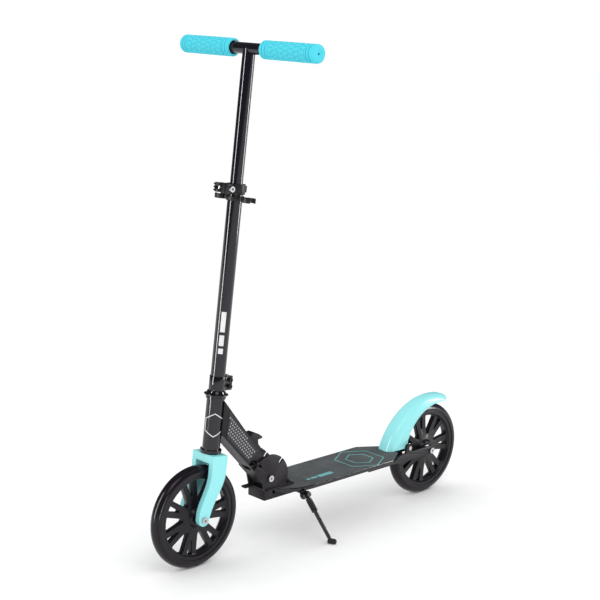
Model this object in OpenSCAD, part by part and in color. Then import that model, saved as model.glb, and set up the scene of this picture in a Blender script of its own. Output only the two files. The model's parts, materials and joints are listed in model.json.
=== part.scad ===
// Folding two-wheel kick scooter standing on its side stand.
// +X points forward, +Y to the rider's left, +Z up. The origin is on the floor, on the line where both
// tyres touch it, midway between the wheels. Every sub-part is drawn with the scooter upright, measured
// from the rear axle line, and stand() then leans it onto the side stand.

/* [Wheels] */
// Outside diameter of both wheels
wheel_d = 200; // [165:1:240]
// Width of the tyre band
tyre_w = 26; // [20:0.5:32]
// Radial depth of the tyre band over the rim
tyre_depth = 16; // [12:0.5:20]
// Distance between the two axles
wheelbase = 640; // [530:5:770]
// Forked spokes in each wheel
spokes = 7; // [5:1:9]
// Diameter of the wheel axle bolts
axle_d = 8; // [6:0.5:9]
// Outside diameter of the wheel bearings
bearing_d = 22; // [20:0.5:24]

/* [Stance] */
// Sideways lean of the scooter on its stand, in degrees
lean_angle = 2; // [0:0.5:6]
// Backward slope of the steering axis, in degrees
rake = 6.2; // [2:0.2:12]
// Distance of the front axle ahead of the steering axis
fork_offset = 25.5; // [15:0.5:35]

/* [Deck] */
// Full width of the deck
deck_w = 111; // [92:1:135]
// Height of the deck's side walls
deck_h = 8; // [7:0.5:12]
// Height of the deck's underside above the axles
deck_rise = 10; // [8:1:14]
// Thickness of the deck's top and walls
deck_wall = 3; // [2:0.5:4]
// Full width of the front box and of the fold bracket
bracket_w = 48; // [42:1:56]

/* [Fold] */
// Distance of the fold pivot behind the front axle
pivot_back = 170; // [160:1:200]
// Height of the fold pivot above the axles
pivot_rise = 43; // [38:1:50]
// Radius of the fold bracket's half round plates
bracket_r = 47; // [42:1:52]
// Diameter of the fold pivot bolt
pivot_d = 8; // [6:0.5:10]
// Turn from the riding lock to the folded lock, in degrees
fold_turn = 84; // [70:1:90]
// Full width of the box-section down tube
down_w = 38; // [32:1:40]

/* [Steering column] */
// Outside diameter of the sliding handlebar tube
slide_tube_d = 24; // [21:0.5:29]
// Wall of the steering tube around the sliding tube
column_wall = 2; // [1.5:0.25:3]
// Outside diameter of the head tube
head_tube_d = 34; // [33:0.5:42]
// Length of the head tube
head_tube_l = 98; // [85:1:120]
// Length of the steering tube from the head clamp to the height clamp
column_l = 374; // [310:1:450]
// Length of handlebar tube standing out of the height clamp
tube_out = 245; // [210:5:290]
// Length of handlebar tube held inside the steering tube
tube_in = 70; // [60:5:90]

/* [Handlebar] */
// Full width across both grips
bar_w = 364; // [310:2:440]
// Diameter of the cross bar
bar_d = 21; // [19:0.5:24]
// Length of the cross bar between the grip inserts
tee_w = 68; // [60:1:90]
// Outside diameter of the rubber grips
grip_d = 34; // [30:0.5:38]
// Length of each rubber grip
grip_l = 140; // [120:1:150]

/* [Fender] */
// Width over the fender's side walls
fender_w = 42; // [36:0.5:50]
// Gap between the tyre and the fender's crown
fender_gap = 21; // [14:0.5:26]
// Wall of the fender shell
fender_wall = 3; // [2:0.25:4]

/* [Side stand] */
// Diameter of the stand's rod
stand_rod_d = 8; // [6:0.5:10]
// Tilt of the stand's pivot bolt above level, in degrees
stand_tilt = 22; // [15:1:30]
// Angle by which the lowered stand points backward, in degrees
stand_rake = 19; // [5:1:30]

/* [Hidden] */
$fn = 64;

black = [0.07, 0.06, 0.08];
dark = [0.18, 0.17, 0.2];
turquoise = [0.35, 0.82, 0.85];
silver = [0.8, 0.8, 0.82];
grey = [0.37, 0.39, 0.39];

run_fit = 0.05;      // radial clearance of every turning or sliding fit
gap = 0.5;           // space between pieces that pass each other
cut = 1;             // how far a cutting shape runs past a face

wheel_r = wheel_d / 2;
tyre_r = tyre_w / 2;
rim_r = wheel_r - tyre_depth;
hub_r = bearing_d / 2 + 5;
hub_w = tyre_w + 2;
bearing_w = 7;
rim_band = 10;
spoke_w = 11;
spacer_play = 0.2;

// Heights and places in the upright scooter
axle_z = wheel_r;
deck_z = axle_z + deck_rise;
deck_top = deck_z + deck_h;
sheet_t = 0.8;
pivot_x = wheelbase - pivot_back;
pivot_z = axle_z + pivot_rise;
deck_front = pivot_x - 7;
deck_tail = wheel_r + 8;
taper_x = deck_tail + 44;
nose_l = 85;
tail_half = 28;
box_front = pivot_x + 14;
box_back = pivot_x - 92;
box_floor = deck_z - 11;
box_wall = 3;

// Fold bracket
plate_t = 3.5;
plate_in = bracket_w / 2 - plate_t;
bracket_z = deck_top + sheet_t;
flange_w = 5;
lip_w = 12;
lip_l = 18;
lock_pin_d = 5;
lock_pin_r = bracket_r + lock_pin_d / 2 + gap;
notch_depth = 9;
bracket_bolt_x = pivot_x - bracket_r - 9;

// Rear arms
arm_t = 5;
arm_h = 18;
strap_t = 3;
arm_in = fender_w / 2 + gap;
arm_out = arm_in + arm_t;
arm_z = axle_z - arm_h / 2 + 1;
arm_flare = deck_w / 2 - 2;
hinge_x = wheel_r * 0.71;
hinge_z = axle_z + 20;

// Stations along the steering axis, measured from the point nearest to the front axle
crown_z = wheel_r + 6;
crown_h = 15;
crown_top = crown_z + crown_h;
blade_in = tyre_r + 6;
blade_t = 11;
blade_out = blade_in + blade_t;
blade_top_w = 36;
blade_end_r = 12;
cup_h = 7;
cup_d = head_tube_d + 7;
head_low = crown_top + cup_h + gap;
head_top = head_low + head_tube_l;
upper_cup_top = head_top + 6;
cone_top = upper_cup_top + 9;
clamp_low = cone_top + gap;
head_clamp_h = 27;
clamp_top = clamp_low + head_clamp_h;
column_d = slide_tube_d + 2 * (column_wall + run_fit);
tube_top = clamp_low + column_l;
steerer_top = clamp_top + 20;
steerer_wall = 2.5;
height_clamp_h = 19;
height_clamp_low = tube_top - 6;
height_clamp_top = height_clamp_low + height_clamp_h;
bar_z = height_clamp_top + tube_out;
holder_h = 9;
holder_low = height_clamp_low - holder_h - 3;
clamp_shell = 3.5;
skewer_x = column_d / 2 + clamp_shell + 3;
skewer_d = 5;
ear_half = 10;

steerer_d = slide_tube_d;
race_d = min(steerer_d + 8, head_tube_d - 2);
clamp_bolt_x = -column_d / 2 - 8.5;
clamp_bolt_d = 5;
skewer_z = height_clamp_low + height_clamp_h / 2;
cam_y = -max(ear_half + 11, column_d / 2 + clamp_shell + 3.45);
cam_pin_d = 7;
lever_turn = 110;
slit = 2.5;
blade_sweep = 88;
clip_at = column_d / 2 + 24;
clip_play = 1;

// Direction of the riding lock from the fold pivot, along the down tube
lock_aim = steer_point(0, head_low + 0.6 * head_tube_l) - [pivot_x, pivot_z];
lock_angle = atan2(lock_aim.y, lock_aim.x);
lock = polar(lock_pin_r, lock_angle);
lever_at = polar(70, lock_angle + 10);
latch_pin_d = 4;
lever_half = 9.5;

// Down tube
tube_far = steer_point(-head_tube_d / 5, head_low + 0.97 * head_tube_l);
tube_near = steer_point(-head_tube_d / 5, head_low + 0.32 * head_tube_l);
tube_end_r = 17;
shoulder_at = [12, 45];
chin_at = [20, 2];
tube_front = (tube_near - [pivot_x, pivot_z] - chin_at) / norm(tube_near - [pivot_x, pivot_z] - chin_at);
tube_back = (tube_far - [pivot_x, pivot_z] - shoulder_at) / norm(tube_far - [pivot_x, pivot_z] - shoulder_at);
panel_t = 0.8;

// Fender
fender_in = wheel_r + fender_gap;
fender_out = fender_in + fender_wall;
fender_side = fender_w / 2;
fender_corner = 15;
crown_c = [-0.17, -0.35] * wheel_r;
crown_out = norm(polar(fender_out - 8, 45) - crown_c);
crown_low = crown_out - 0.6 * wheel_r;
fender_from = 8;
fender_to = 118;
fender_low = deck_top + sheet_t + gap;
skirt_r = 0.77 * wheel_r;
hinge_d = 5;
hinge_eye_r = 9;
brake_gap = 6;
pad_angle = 84;
pad_half = 9;

// Grips
grip_in = bar_w / 2 - grip_l;
tee_half = tee_w / 2;
insert_d = bar_d - 4.1;
insert_depth = 28;
collar_l = grip_in - tee_half;
button_d = 5;
button_y = tee_half + collar_l / 2;

// Side stand
stand_x = pivot_x - 66;
stand_y = deck_w / 2 + 2;
stand_z = deck_z - 7;
stand_bolt_d = 6;
stand_plate_t = 4;
eye_half = stand_rod_d / 2 + 0.5;
stand_low = -stand_plate_t - eye_half - gap;
sleeve_from = 13;
sleeve_to = 34;
toe_l = 12;
toe_r = stand_rod_d / 2;
foot_r = toe_r + 1.5;
stand_dir = [-sin(stand_rake), cos(stand_rake) * sin(stand_tilt), -cos(stand_rake) * cos(stand_tilt)];
stand_pivot_height = leaned([0, stand_y, stand_z]).z;
stand_l = (stand_pivot_height - foot_r) / -lean_vector(stand_dir).z;
foot_at = [stand_x, stand_y, stand_z] + stand_l * stand_dir;

function steer_point(x, z) = [wheelbase - fork_offset * cos(rake) + x * cos(rake) - z * sin(rake),
    axle_z - fork_offset * sin(rake) + x * sin(rake) + z * cos(rake)];
function lean_vector(v) = [v.x, v.y * cos(lean_angle) + v.z * sin(lean_angle),
    v.z * cos(lean_angle) - v.y * sin(lean_angle)];
function leaned(p) = lean_vector(p) + [0, 0, tyre_r * (1 - cos(lean_angle))];
function polar(r, a) = [r * cos(a), r * sin(a)];
function arc(r, from, to, steps) = [for (i = [0:steps]) polar(r, from + (to - from) * i / steps)];

// Leans the upright scooter onto its stand and sets the origin between the wheels
module stand() {
    translate([-wheelbase / 2, 0, tyre_r * (1 - cos(lean_angle))]) rotate([-lean_angle, 0, 0]) children();
}

// Frame of the steering column: Z along the steering axis, X forward from it
module column() {
    stand() translate([wheelbase, 0, axle_z]) rotate([0, -rake, 0]) translate([-fork_offset, 0, 0]) children();
}

module at_pivot() {
    stand() translate([pivot_x, 0, pivot_z]) rotate([90, 0, 0]) children();
}

// Side profile drawn in X and Z, extruded over Y
module side_plate(y0, y1) {
    translate([0, y1, 0]) rotate([90, 0, 0]) linear_extrude(y1 - y0) children();
}

module rod_y(d, y0, y1) {
    translate([0, y1, 0]) rotate([90, 0, 0]) cylinder(d = d, h = y1 - y0);
}

module tube_z(outer, inner, h) {
    difference() {
        cylinder(d = outer, h = h);
        translate([0, 0, -cut]) cylinder(d = inner, h = h + 2 * cut);
    }
}

module tube_y(outer, inner, y0, y1) {
    translate([0, y1, 0]) rotate([90, 0, 0]) tube_z(outer, inner, y1 - y0);
}

module mirrored_y() {
    children();
    mirror([0, 1, 0]) children();
}

// ---- Wheels, drawn round the Y axis ----
module tyre() {
    rotate([90, 0, 0]) rotate_extrude($fn = 120) difference() {
        translate([wheel_r - tyre_r, 0]) circle(r = tyre_r);
        translate([0, -tyre_w]) square([rim_r, 2 * tyre_w]);
    }
}

module spoke_window(inner_r, outer_r, inner_half, outer_half) {
    linear_extrude(tyre_w + 2 * cut, center = true) intersection() {
        circle(r = outer_r);
        polygon([[inner_r, -inner_half], [outer_r + cut, -outer_half],
            [outer_r + cut, outer_half], [inner_r, inner_half]]);
    }
}

// Outer band, web and hub as one turned piece, with the windows that leave the forked spokes
module rim() {
    band_in = rim_r - rim_band;
    window_r = band_in - 1.5;
    sector = 2 * window_r * sin(180 / spokes);
    fork_r = hub_r + 0.48 * (window_r - hub_r);
    color(black) rotate([90, 0, 0]) difference() {
        rotate_extrude($fn = 120) union() {
            translate([band_in, 1.5 - tyre_r]) square([rim_band, tyre_w - 3]);
            translate([0, -spoke_w / 2]) square([band_in + cut, spoke_w]);
            translate([0, -hub_w / 2]) square([hub_r, hub_w]);
        }
        for (i = [0:spokes - 1]) rotate(i * 360 / spokes) {
            spoke_window(hub_r + 6, window_r, 1.5, sector * 0.29);
            rotate(180 / spokes) spoke_window(fork_r, window_r, 1, sector * 0.12);
        }
        for (side = [0, 1]) mirror([0, 0, side]) translate([0, 0, hub_w / 2 - bearing_w])
            cylinder(d = bearing_d, h = bearing_w + cut);
        cylinder(d = bearing_d - 4, h = hub_w - bearing_w, center = true);
    }
}

module bearings() {
    color(silver) mirrored_y() tube_y(bearing_d, axle_d, hub_w / 2 - bearing_w, hub_w / 2);
}

module sleeve() {
    color(silver) tube_y(axle_d + 4, axle_d, bearing_w - hub_w / 2, hub_w / 2 - bearing_w);
}

// Axle bolt with a domed socket head on the left and a nut on the right
module axle_set(half) {
    head_h = 4;
    color(silver) {
        difference() {
            union() {
                rod_y(axle_d - 2 * run_fit, -half - 7, half);
                rod_y(axle_d * 1.6, half, half + head_h);
            }
            translate([0, half + head_h + cut, 0]) rotate([90, 0, 0])
                cylinder(d = axle_d * 0.6, h = 3 + cut, $fn = 6);
        }
        translate([0, -half, 0]) rotate([90, 0, 0]) difference() {
            cylinder(d = axle_d * 1.75, h = 5.5, $fn = 6);
            translate([0, 0, -cut]) cylinder(d = axle_d, h = 5.5 + 2 * cut);
        }
    }
}

module spacers(outer_half) {
    color(silver) mirrored_y() tube_y(axle_d + 5, axle_d, hub_w / 2 + spacer_play, outer_half);
}

module at_rear_axle() {
    stand() translate([0, 0, axle_z]) children();
}

module at_front_axle() {
    stand() translate([wheelbase, 0, axle_z]) children();
}

module rear_tyre() { at_rear_axle() color(black) tyre(); }
module rear_rim() { at_rear_axle() rim(); }
module rear_bearings() { at_rear_axle() bearings(); }
module rear_sleeve() { at_rear_axle() sleeve(); }
module rear_axle_set() { at_rear_axle() axle_set(arm_out); }
module rear_spacers() { at_rear_axle() spacers(arm_in); }
module front_tyre() { at_front_axle() color(black) tyre(); }
module front_rim() { at_front_axle() rim(); }
module front_bearings() { at_front_axle() bearings(); }
module front_sleeve() { at_front_axle() sleeve(); }
module front_axle_set() { at_front_axle() axle_set(blade_out); }
module front_spacers() { at_front_axle() spacers(blade_in); }

// ---- Deck ----
// Deck outline seen from above: a rounded nose, straight sides and a tapered tail
module deck_outline(inset) {
    half = deck_w / 2 - inset;
    nose = nose_l - inset;
    centre_x = deck_front - nose_l;
    edge = [for (i = [0:14]) let (a = 90 * i / 14) [centre_x + nose * cos(a), half * sin(a)]];
    left = concat(edge, [[taper_x, half], [deck_tail + inset, tail_half - inset]]);
    right = [for (i = [len(left) - 1:-1:1]) [left[i].x, -left[i].y]];
    polygon(concat(left, right));
}

module deck_plate() {
    stand() color(black) difference() {
        translate([0, 0, deck_z]) linear_extrude(deck_h) deck_outline(0);
        translate([0, 0, deck_z - cut]) linear_extrude(deck_h - deck_wall + cut) deck_outline(deck_wall);
    }
}

module grip_sheet() {
    stand() color(grey) translate([0, 0, deck_top]) linear_extrude(sheet_t) deck_outline(1.5);
}

// Folded steel box under the deck's nose
module front_box() {
    half = bracket_w / 2;
    stand() color(dark) difference() {
        translate([box_back, -half, box_floor]) cube([box_front - box_back, bracket_w, bracket_z - box_floor]);
        translate([box_back - cut, -half + box_wall, box_floor + box_wall])
            cube([box_front - box_back + cut - box_wall, bracket_w - 2 * box_wall, bracket_z - box_floor]);
        translate([0, 0, deck_z]) linear_extrude(deck_h + sheet_t + cut) difference() {
            translate([box_back - cut, -half - cut])
                square([deck_front - box_back + 2 * cut, bracket_w + 2 * cut]);
            translate([deck_front, -half - 2 * cut]) square([2 * cut, bracket_w + 4 * cut]);
        }
    }
}

// Half round plate outline about the pivot, with the riding notch and the folded notch in its rim
module bracket_side() {
    foot = bracket_z - pivot_z;
    difference() {
        intersection() {
            circle(r = bracket_r);
            polygon([[-bracket_r, foot], [box_front - pivot_x, foot], chin_at,
                chin_at + 2 * bracket_r * tube_front, [-bracket_r, 2 * bracket_r]]);
        }
        for (a = [lock_angle, lock_angle + fold_turn]) rotate(a) {
            translate([bracket_r - notch_depth, -lock_pin_d / 2 - gap / 2])
                square([notch_depth + cut, lock_pin_d + gap]);
            translate([bracket_r - notch_depth, 0]) circle(d = lock_pin_d + gap);
        }
        circle(d = pivot_d);
    }
}

module fold_bracket() {
    half = bracket_w / 2;
    reach = 13;
    color(dark) {
        stand() {
            difference() {
                union() {
                    mirrored_y() translate([pivot_x, 0, pivot_z]) side_plate(plate_in, half) bracket_side();
                    translate([pivot_x - bracket_r - reach, -half, bracket_z])
                        cube([2 * bracket_r + reach - 33, bracket_w, plate_t]);
                    mirrored_y() translate([pivot_x - bracket_r - reach, half - cut, bracket_z])
                        cube([bracket_r + reach + 10, flange_w + cut, plate_t]);
                    translate([box_front - cut, -half, bracket_z]) cube([lip_l + cut, lip_w, plate_t]);
                }
                for (y = [-1, 1]) translate([bracket_bolt_x, y * half * 0.5, bracket_z - cut])
                    cylinder(d = 5, h = plate_t + 2 * cut);
            }
        }
    }
}

module bracket_bolts() {
    stand() color(silver) for (y = [-1, 1]) translate([bracket_bolt_x, y * bracket_w / 4, 0]) {
        translate([0, 0, bracket_z]) cylinder(d = 5 - 2 * run_fit, h = plate_t);
        translate([0, 0, bracket_z + plate_t]) difference() {
            cylinder(d = 9, h = 3);
            translate([0, 0, 1]) cylinder(d = 4, h = 2 + cut, $fn = 6);
        }
    }
}

module pivot_bolt_set() {
    half = bracket_w / 2;
    stand() translate([pivot_x, 0, pivot_z]) color(silver) {
        difference() {
            union() {
                rod_y(pivot_d - 2 * run_fit, -half - 8, half);
                rod_y(pivot_d * 1.6, half, half + 4.5);
            }
            translate([0, half + 4.5 + cut, 0]) rotate([90, 0, 0]) cylinder(d = 4.8, h = 3 + cut, $fn = 6);
        }
        translate([0, -half, 0]) rotate([90, 0, 0]) difference() {
            cylinder(d = pivot_d * 1.75, h = 6, $fn = 6);
            translate([0, 0, -cut]) cylinder(d = pivot_d, h = 6 + 2 * cut);
        }
    }
}

// Flat steel arm from the deck's underside to the rear axle
module rear_arm() {
    arm_end = taper_x + 70;
    plan = [[-20, arm_in], [deck_tail - 12, arm_in], [taper_x, arm_flare - arm_t], [arm_end, arm_flare - arm_t],
        [arm_end, arm_flare], [taper_x - 3, arm_flare], [deck_tail - 14, arm_out], [-20, arm_out]];
    difference() {
        intersection() {
            translate([0, 0, arm_z]) linear_extrude(hinge_z + hinge_eye_r - arm_z) polygon(plan);
            side_plate(0, deck_w) union() {
                polygon([[0, arm_z], [deck_tail - 8, arm_z], [taper_x - 6, deck_z - strap_t],
                    [arm_end, deck_z - strap_t], [arm_end, deck_z], [0, deck_z]]);
                translate([0, arm_z + arm_h / 2]) circle(d = arm_h);
                translate([hinge_x - hinge_eye_r, axle_z]) square([2 * hinge_eye_r, hinge_z - axle_z]);
                translate([hinge_x, hinge_z]) circle(r = hinge_eye_r);
            }
        }
        translate([0, 0, axle_z]) rod_y(axle_d, 0, deck_w);
        translate([hinge_x, 0, hinge_z]) rod_y(hinge_d, 0, deck_w);
    }
}

module rear_arm_left() { stand() color(dark) rear_arm(); }
module rear_arm_right() { stand() color(dark) mirror([0, 1, 0]) rear_arm(); }

// ---- Fender brake ----
// Crown section: sides reach down to low_r and the edges turn over with radius corner
module crown_outline(low_r, top_r, half, corner) {
    translate([low_r, -half]) square([top_r - corner - low_r, 2 * half]);
    translate([low_r, corner - half]) square([top_r - low_r, 2 * (half - corner)]);
    for (y = [-1, 1]) translate([top_r - corner, y * (half - corner)]) circle(r = corner);
}

module fender_hollow(low_r) {
    crown_outline(low_r, crown_out - fender_wall, fender_side - fender_wall, fender_corner - fender_wall);
}

module fender_section(low_r) {
    difference() {
        crown_outline(low_r, crown_out, fender_side, fender_corner);
        fender_hollow(low_r - cut);
    }
}

// Side outline that the swept fender is trimmed to, about the rear axle
module fender_profile() {
    tip = fender_to - 6;
    tip_r = (fender_out - skirt_r - 0.33 * wheel_r) / 2;
    start = fender_from + 3;
    skirt = [for (i = [0:12]) let (t = i / 12)
        polar(skirt_r + 0.33 * wheel_r * pow(t, 1.7), start + (tip - start) * t)];
    nose = [for (p = arc(tip_r, tip + 180, tip, 8)) polar(fender_out + 1 - tip_r, tip) + p];
    outer = arc(fender_out + fender_corner, tip, 0, 24);
    base = [[fender_out + fender_corner, fender_low - axle_z], [skirt_r, fender_low - axle_z]];
    polygon(concat(skirt, nose, outer, base));
}

// Frame of the crown's arc, turned so that Z lies along the axle
module at_crown() {
    translate([crown_c.x, 0, axle_z + crown_c.y]) rotate([90, 0, 0]) children();
}

module fender() {
    stand() color(turquoise) difference() {
        union() {
            intersection() {
                at_crown() rotate_extrude($fn = 120) fender_section(crown_low);
                translate([0, 0, axle_z]) side_plate(-fender_side - cut, fender_side + cut) fender_profile();
            }
            intersection() {
                mirrored_y() translate([hinge_x, 0, hinge_z])
                    rod_y(2 * hinge_eye_r, fender_side - fender_wall, fender_side);
                translate([0, -fender_w, deck_top]) cube([wheelbase, 2 * fender_w, 3 * wheel_r]);
            }
            mirrored_y() translate([hinge_x, 0, hinge_z]) rod_y(11, fender_side - fender_wall, fender_side);
        }
        translate([hinge_x, 0, hinge_z]) rod_y(hinge_d, -fender_w, fender_w);
    }
}

// Friction pad under the crown, above the tyre
module brake_pad() {
    stand() color(dark) difference() {
        intersection() {
            at_crown() rotate_extrude($fn = 120) intersection() {
                fender_hollow(crown_low);
                translate([crown_low, -pad_half]) square([wheel_r, 2 * pad_half]);
            }
            translate([0, 0, axle_z]) side_plate(-pad_half - cut, pad_half + cut)
                polygon(concat([[0, 0]], arc(2 * wheel_r, pad_angle - 9, pad_angle + 9, 4)));
        }
        translate([0, 0, axle_z]) rod_y(2 * (wheel_r + brake_gap), -fender_w, fender_w);
    }
}

module fender_bolts() {
    stand() translate([hinge_x, 0, hinge_z]) color(silver) mirrored_y() {
        rod_y(hinge_d - 2 * run_fit, max(fender_side - fender_wall - 4, tyre_w / 2 + gap), arm_out);
        rod_y(9, arm_out, arm_out + 3);
    }
}

// Torsion coils beside the fender's hinge bolts
module brake_springs() {
    wire = 0.6;
    turns = 3;
    coil_r = 4.5;
    pitch = 1.7 * wire;
    from = fender_side - fender_wall - gap - turns * pitch;
    stand() translate([hinge_x, 0, hinge_z]) color(silver) mirrored_y() {
        for (i = [0:turns - 1]) translate([0, from + (i + 0.5) * pitch, 0]) rotate([90, 0, 0])
            rotate_extrude($fn = 32) translate([coil_r, 0]) circle(r = wire, $fn = 16);
        translate([0, from + pitch / 2, coil_r]) rotate([0, -90, 0]) cylinder(r = wire * 0.8, h = 14, $fn = 16);
    }
}

// ---- Side stand ----
// Frame on the stand's pivot: Z along the bolt, pointing away from the deck
module at_stand() {
    stand() translate([stand_x, stand_y, stand_z]) rotate([stand_tilt - 90, 0, 0]) children();
}

module stand_bracket() {
    strap_y = max(stand_y - 26, bracket_w / 2 + gap);
    color(black) difference() {
        union() {
            at_stand() translate([0, 0, stand_low]) linear_extrude(stand_plate_t) {
                circle(d = 17);
                translate([-7.5, -18]) square([15, 18]);
            }
            stand() translate([stand_x - 9, strap_y, deck_z - 4]) cube([19, stand_y - 9 - strap_y, 4]);
        }
        at_stand() translate([0, 0, stand_low - cut]) cylinder(d = stand_bolt_d, h = stand_plate_t + 2 * cut);
        stand() translate([stand_x - 40, 0, deck_z]) cube([80, deck_w, 20]);
    }
}

module stand_bolt_set() {
    head_at = eye_half + 1.5;
    at_stand() color(silver) {
        translate([0, 0, stand_low]) cylinder(d = stand_bolt_d - 2 * run_fit, h = head_at - stand_low);
        translate([0, 0, head_at]) cylinder(d = 10, h = 4);
        translate([0, 0, stand_low - 4]) cylinder(d = 10, h = 4, $fn = 6);
    }
}

// Aims +Z along a direction
module along(v) {
    rotate([0, acos(v.z / norm(v)), atan2(v.y, v.x)]) children();
}

// Frame of the leg: Z from the pivot down to the toe
module at_leg() {
    stand() translate([stand_x, stand_y, stand_z]) along(stand_dir) children();
}

// Turned rod with a round far end
module round_rod(r, l) {
    rotate_extrude() intersection() {
        union() {
            square([r, l]);
            translate([0, l]) circle(r = r);
        }
        square([r + cut, 2 * l]);
    }
}

// Eye on the pivot bolt and a turned rod with two collars and a round end
module stand_leg() {
    color(black) difference() {
        union() {
            at_stand() translate([0, 0, -eye_half]) cylinder(d = 15, h = 2 * eye_half);
            at_leg() rotate_extrude() intersection() {
                union() {
                    translate([0, 5]) square([toe_r, stand_l - 5]);
                    translate([0, stand_l]) circle(r = toe_r);
                    translate([0, sleeve_from - 3]) square([toe_r + 2, 3]);
                    translate([0, sleeve_to]) square([toe_r + 2.4, 4]);
                }
                square([20, 2 * stand_l]);
            }
        }
        at_stand() translate([0, 0, -2 * eye_half]) cylinder(d = stand_bolt_d, h = 4 * eye_half);
    }
}

// Coil round the upper part of the leg
module stand_spring() {
    wire = 1.1;
    pitch = 1.8 * wire;
    at_leg() color(dark) for (z = [sleeve_from + wire:pitch:sleeve_to - wire]) translate([0, 0, z])
        rotate_extrude($fn = 32) translate([toe_r + wire + 0.1, 0]) circle(r = wire, $fn = 16);
}

function lean_back(v) = [v.x, v.y * cos(lean_angle) - v.z * sin(lean_angle),
    v.z * cos(lean_angle) + v.y * sin(lean_angle)];

// Rubber toe lying level on the floor, pushed over the end of the leg
module stand_foot() {
    toe = lean_back([-sin(20), cos(20), 0]);
    color(black) difference() {
        stand() translate(foot_at - foot_r * toe) along(toe) round_rod(foot_r, toe_l);
        at_leg() round_rod(toe_r + run_fit, stand_l);
    }
}

// ---- Stem: down tube, head tube and headset ----
// Side outline of the down tube about the pivot
module down_tube_side() {
    top = tube_far - [pivot_x, pivot_z];
    low = tube_near - [pivot_x, pivot_z];
    polygon([top, shoulder_at, polar(tube_end_r + 4, 150), polar(tube_end_r, 180), polar(tube_end_r, 225),
        polar(tube_end_r, 270), polar(tube_end_r, 310), chin_at, low]);
}

module down_tube() {
    half = down_w / 2;
    wall = 2.5;
    stand() translate([pivot_x, 0, pivot_z]) color(dark) difference() {
        side_plate(-half, half) down_tube_side();
        side_plate(-half + wall, half - wall) polygon([[10, 39], tube_far - [pivot_x + 4, pivot_z + 9],
            tube_near - [pivot_x + 2, pivot_z - 6], [24, 14], [20, 10]]);
        side_plate(-10.5, 10.5) polygon([[-40, 70], [60, 120], [48, 60], [44, 20], [12, 16], [-40, 20]]);
        translate([lock.x, 0, lock.y]) side_plate(-half - cut, half + cut) union() {
            circle(d = lock_pin_d + 2);
            translate([0, -lock_pin_d / 2 - 1]) square([13, lock_pin_d + 4]);
            translate([13, 1]) circle(d = lock_pin_d + 4);
        }
        side_plate(-half - cut, half + cut) circle(d = pivot_d + 6);
        side_plate(-half - cut, half + cut) translate(lever_at) circle(d = latch_pin_d);
        steer_hole();
    }
}

// Room for the head tube at the down tube's upper end, in the pivot's frame
module steer_hole() {
    translate([wheelbase - pivot_x, 0, axle_z - pivot_z]) rotate([0, -rake, 0])
        translate([-fork_offset, 0, 0]) cylinder(d = head_tube_d, h = 2 * (head_top + head_tube_l));
}

// Patterned side panel: the down tube's outline drawn in by a border along both edges
module side_panel() {
    half = down_w / 2;
    border = 3.5;
    behind = -head_tube_d / 2 - 3;
    translate([pivot_x, 0, pivot_z]) side_plate(half, half + panel_t) intersection() {
        translate([tube_back.y, -tube_back.x] * border) down_tube_side();
        translate([-tube_front.y, tube_front.x] * border) down_tube_side();
        polygon([[27, 62], [54, 42], steer_point(behind, head_low - head_tube_l) - [pivot_x, pivot_z],
            steer_point(behind, head_top + head_tube_l) - [pivot_x, pivot_z]]);
    }
}

module side_panel_left() { stand() color(silver) side_panel(); }
module side_panel_right() { stand() color(silver) mirror([0, 1, 0]) side_panel(); }

module pivot_sleeve() {
    stand() translate([pivot_x, 0, pivot_z]) color(silver)
        tube_y(pivot_d + 6, pivot_d, -plate_in + gap, plate_in - gap);
}

module head_tube() {
    column() color(black) translate([0, 0, head_low]) tube_z(head_tube_d, head_tube_d - 4, head_tube_l);
}

module lower_cup() {
    column() color(black) translate([0, 0, head_low]) mirror([0, 0, 1]) difference() {
        union() {
            cylinder(d = cup_d, h = 3);
            translate([0, 0, 3]) cylinder(d = cup_d - 2, h = cup_h - 3);
        }
        translate([0, 0, -cut]) cylinder(d = race_d, h = cup_h + 2 * cut);
    }
}

module upper_cup() {
    column() color(black) translate([0, 0, head_top]) difference() {
        union() {
            cylinder(d = cup_d - 3, h = 3);
            translate([0, 0, 3]) cylinder(d = cup_d - 5, h = 3);
        }
        translate([0, 0, -cut]) cylinder(d = race_d, h = 6 + 2 * cut);
    }
}

module headset_bearings() {
    column() color(silver) for (z = [head_low - cup_h, head_top + 1]) translate([0, 0, z])
        tube_z(race_d, steerer_d + 2 * run_fit, 5);
}

// ---- Latch on the down tube ----
module latch_pin() {
    stand() translate([pivot_x + lever_at.x, 0, pivot_z + lever_at.y]) color(silver)
        rod_y(latch_pin_d, -down_w / 2, down_w / 2);
}

// Thumb lever with a rearward pad, about the fold pivot
module latch_lever() {
    stand() translate([pivot_x, 0, pivot_z]) color(dark) difference() {
        side_plate(-lever_half, lever_half) union() {
            polygon([[43, 82], [41, 89], [36, 94], [29, 95], [18, 90], [9, 83], [9, 80], [20, 79], [19, 70],
                [13, 62], [2, 54], [0, 50], [12, 51.5], [22, 47], lock + [-3, 3], lock + [3, -2], [43, 52]]);
            translate(lever_at) circle(r = 7);
            translate(lock) circle(r = 5);
        }
        translate([lever_at.x, 0, lever_at.y]) rod_y(latch_pin_d + 2 * run_fit, -down_w, down_w);
        translate([lock.x, 0, lock.y]) rod_y(lock_pin_d, -down_w, down_w);
    }
}

module lock_pin() {
    stand() translate([pivot_x + lock.x, 0, pivot_z + lock.y]) color(silver)
        rod_y(lock_pin_d, -bracket_w / 2 - 2, bracket_w / 2 + 2);
}

// Small torsion coils on the latch pin
module latch_spring() {
    wire = 0.9;
    stand() translate([pivot_x + lever_at.x, 0, pivot_z + lever_at.y]) color(silver) mirrored_y()
        for (i = [0:3]) translate([0, lever_half + 0.3 + wire + i * 1.6 * wire, 0]) rotate([90, 0, 0])
            rotate_extrude($fn = 32) translate([3.6, 0]) circle(r = wire, $fn = 16);
}

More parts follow.
